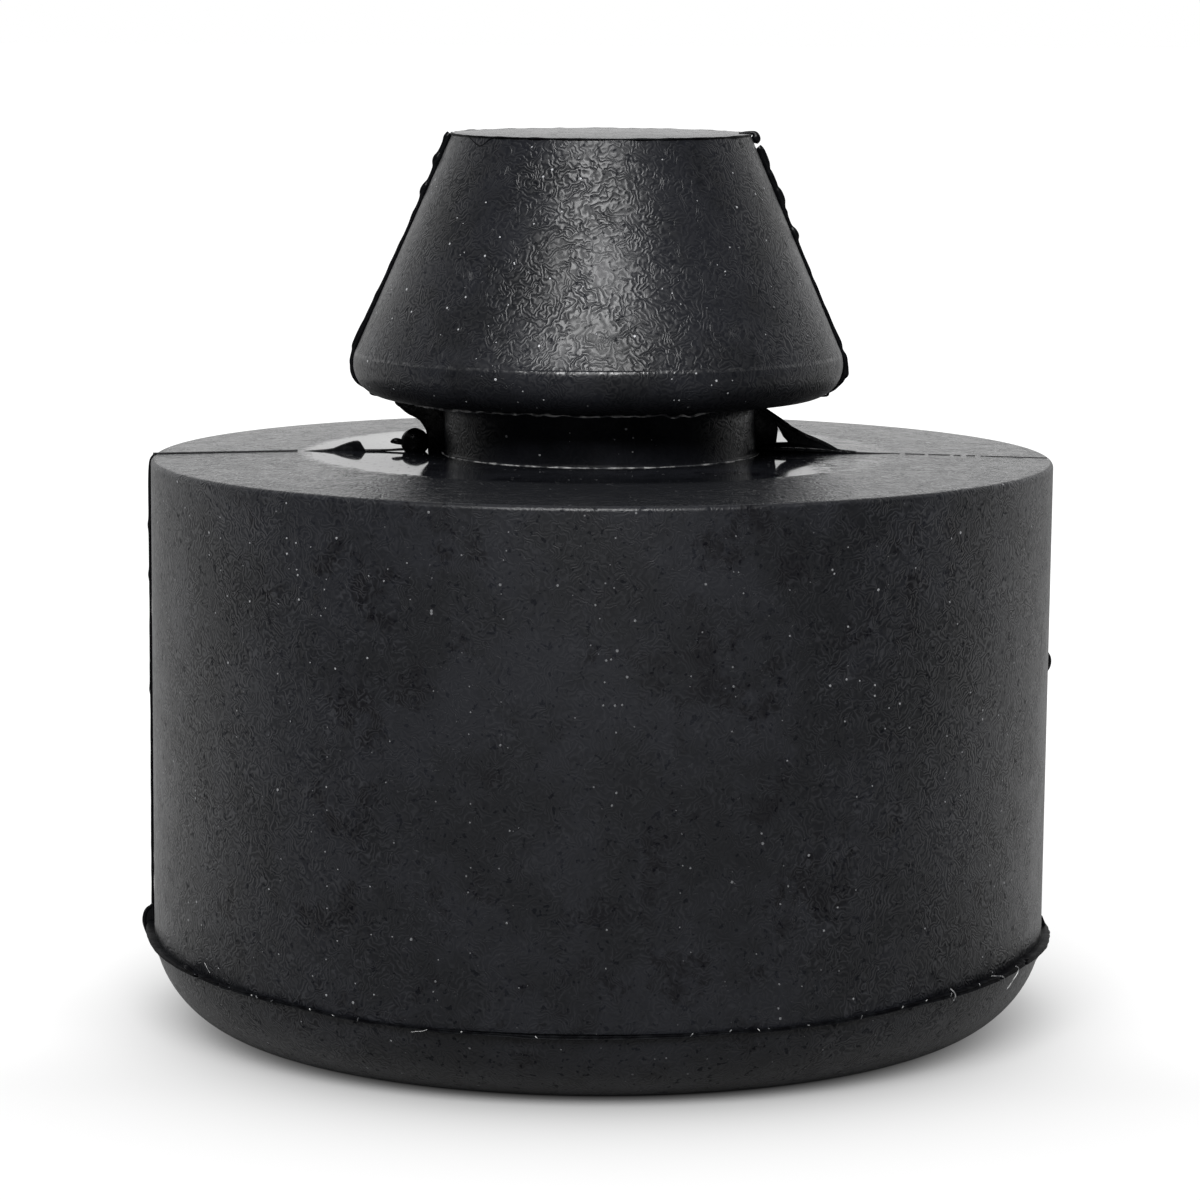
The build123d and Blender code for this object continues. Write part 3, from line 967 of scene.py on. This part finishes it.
fibres = [
    [
        (333.0, 5.3, 0.42, 0.03), (333.6, 5.2, 0.5, 0.035), (333.6, 4.9, 0.46, 0.03),
        (332.8, 4.5, 0.3, 0.03), (331.9, 4.1, 0.14, 0.025),
    ],
    [
        (326.3, 5.3, 0.42, 0.03), (327.6, 5.2, 0.52, 0.035), (329.0, 5.08, 0.48, 0.03),
        (329.6, 4.9, 0.44, 0.03),
    ],
    [(317.8, 5.2, 0.3, 0.04), (318.3, 5.0, 0.42, 0.035), (318.6, 4.7, 0.4, 0.03), (318.6, 4.5, 0.25, 0.03)],
    [(213.0, 5.72, 0.04, 0.015), (213.7, 5.48, 0.06, 0.02), (214.5, 5.28, 0.08, 0.015)],
    [
        (247.6, 4.12, 0.1, 0.008), (248.4, 4.2, 0.14, 0.011), (249.3, 4.24, 0.16, 0.012),
        (249.7, 4.34, 0.12, 0.01),
    ],
]
for number, stations in enumerate(fibres, 1):
    strand(f"fibre_{number}", drum_points(stations), torn_rubber_painted_bright)
dice = random.Random(21)
crumb_angles = [
    211.5, 219.4, 223.7, 224.6, 227.3, 233.5, 237.0, 240.5, 254.0, 263.0, 281.3, 286.0, 289.5, 290.8, 296.0,
    303.4, 309.7, 313.6, 318.0, 323.8,
]
for number, angle in enumerate(crumb_angles, 1):
    proud, half, level = between(ring_stations, angle)
    size = dice.uniform(0.028, 0.046)
    z = level + half * dice.uniform(0.2, 1.2)
    long = dice.uniform(0.05, 0.16)
    slant = dice.uniform(-0.1, 0.1)
    crumb = [
        (angle - long, z - slant, proud, size * 0.6),
        (angle, z, proud + 0.03, size),
        (angle + long, z + slant, proud, size * 0.6),
    ]
    strand(f"crumb_{number}", drum_points(crumb), torn_rubber_painted_bright)
flake = [
    (208.2, 5.1, 0.2, 0.05), (208.7, 5.22, 0.25, 0.12), (209.6, 5.2, 0.28, 0.14), (210.6, 5.08, 0.26, 0.1),
    (211.8, 4.98, 0.2, 0.05),
]
strand("flake_left", drum_points(flake), dull_rubber)

# %% [markdown]
# The rim of the head has a small nick on the left. It reads as a dark curl that runs down the cone
# and back up to the rim, so it is a strand of the dull flash, laid on the cone by depth below the top.

# %% Nick in the rim of the head
nick_stations = [
    (-7.3, 0.02, 0.03), (-7.1, 0.16, 0.03), (-6.6, 0.6, 0.045), (-6.35, 0.45, 0.03), (-5.95, 0.1, 0.05),
    (-5.6, 0.04, 0.06), (-5.2, 0.03, 0.04),
]
nick = []
for x, depth, radius in nick_stations:
    z = top_z - depth
    nick.append((x + sway(z), -math.sqrt(cone_radius(z) ** 2 - x ** 2), z, radius))
strand("nick_left", nick, dull_rubber)

# %% [markdown]
# ## Floor and light
# The part stands on a pale floor in a white surround. The floor glows white to the camera, but less
# and less towards the part, so that its own shadow stays; this falling glow is itself a painted shadow,
# which drops off with the distance from the axis as if the part hid the sky, and is deeper in front than
# at the sides. Behind the part it glows to reflections too, with the same painted shadow, because the
# edges of the drum mirror it.

# %% Floor
bpy.ops.object.select_all(action="DESELECT")
bpy.ops.mesh.primitive_plane_add(size=6.0)
floor = bpy.context.object
floor.name = "floor"
pale_floor, tree, shader = new_material("matt_pale_floor")
floor.data.materials.append(pale_floor)
place = add_node(tree, "TexCoord", {}, "Object")
from_axis = add_node(tree, "VectorMath", {0: place}, "Value", operation="LENGTH")
foot_edge, floor_reach = 0.0198, 0.2
painted_shadow_width_mm = 6.5
past_foot = {0: from_axis, 1: foot_edge, 2: foot_edge + floor_reach, 3: 0.0, 4: floor_reach / MM}
gap = add_node(tree, "MapRange", past_foot)
# Painted shadow: the glow drops towards the foot by a share that falls off with the distance, deeper in
# front than at the sides.
painted_shadow_depth = add_node(tree, "Math", {0: math.exp(-1 / painted_shadow_width_mm), 1: gap}, operation="POWER")
outside_painted_shadow = add_node(tree, "Math", {0: 1.0, 1: painted_shadow_depth}, operation="SUBTRACT")
floor_y = add_node(tree, "SeparateXYZ", {0: place}, "Y")
painted_shadow_side_lift = add_node(tree, "MapRange", {0: floor_y, 1: -0.02, 2: -0.004, 3: 0.73, 4: 0.88}, **smooth)
glow_with_painted_shadow = add_node(tree, "Math", {0: outside_painted_shadow, 1: painted_shadow_side_lift}, operation="MULTIPLY")
far = add_node(tree, "MapRange", {0: from_axis, 1: 0.04, 2: 0.16}, **smooth)
lift = add_node(tree, "Mix", {0: far, 2: glow_with_painted_shadow, 3: 1.0})
to_camera = add_node(tree, "LightPath", {}, "Is Camera Ray")
white = add_node(tree, "Math", {0: lift, 1: to_camera}, operation="MULTIPLY")
behind = add_node(tree, "MapRange", {0: floor_y, 1: -0.04, 2: 0.03, 3: 0.0, 4: 0.5}, **smooth)
behind_with_painted_shadow = add_node(tree, "Math", {0: behind, 1: outside_painted_shadow}, operation="MULTIPLY")
to_gloss = add_node(tree, "LightPath", {}, "Is Glossy Ray")
mirrored = add_node(tree, "Math", {0: behind_with_painted_shadow, 1: to_gloss}, operation="MULTIPLY")
glow = add_node(tree, "Math", {0: white, 1: mirrored}, operation="ADD")
tree.links.new(glow, shader.inputs["Emission Strength"])
shader.inputs["Emission Color"].default_value = (1, 1, 1, 1)
shader.inputs["Base Color"].default_value = colour("#898989")
shader.inputs["Roughness"].default_value = 0.9
shader.inputs["Specular IOR Level"].default_value = 0.0
print("floor nodes", len(tree.nodes))

# %% [markdown]
# The surround is white to the camera. To the part it is bright low down behind, dark in front and an
# even grey overhead. That gives the drum its pale edges and the shoulder its brightness.

# %% Surround
dark_front, bright_behind, grey_overhead = 0.03, 0.95, 0.35

world = bpy.data.worlds.new("white_surround")
bpy.context.scene.world = world
world.use_nodes = True
tree = world.node_tree
toward = add_node(tree, "TexCoord", {}, "Generated")
toward_y = add_node(tree, "SeparateXYZ", {0: toward}, "Y")
toward_z = add_node(tree, "SeparateXYZ", {0: toward}, "Z")
to_the_back = {0: toward_y, 1: -0.3, 2: 1.0, 3: dark_front, 4: bright_behind}
low_light = add_node(tree, "MapRange", to_the_back, **smooth)
high_light = add_node(tree, "MapRange", {0: toward_z, 1: 0.35, 2: 0.75}, **smooth)
dome = add_node(tree, "Mix", {0: high_light, 2: low_light, 3: grey_overhead})
to_camera = add_node(tree, "LightPath", {}, "Is Camera Ray")
seen = add_node(tree, "Mix", {0: to_camera, 2: dome, 3: 1.0})
background = tree.nodes["Background"]
tree.links.new(seen, background.inputs["Strength"])
background.inputs["Color"].default_value = (1, 1, 1, 1)
print("surround nodes", len(tree.nodes))

# %% [markdown]
# One large soft light, high in front and a little to the left, gives the head its broad highlight.

# %% Soft light
light_place = Vector((-0.045, -0.52, 0.47))
bpy.ops.object.light_add(type="AREA", location=light_place)
soft_light = bpy.context.object
soft_light.name = "soft_light"
soft_light.data.shape = "RECTANGLE"
soft_light.data.size = 0.4
soft_light.data.size_y = 0.36
soft_light.data.energy = 7.0
aim = Vector((0, 0, 0.04)) - light_place
soft_light.rotation_euler = aim.to_track_quat("-Z", "Y").to_euler()
print("soft light", round(aim.length, 2), "m from the part")
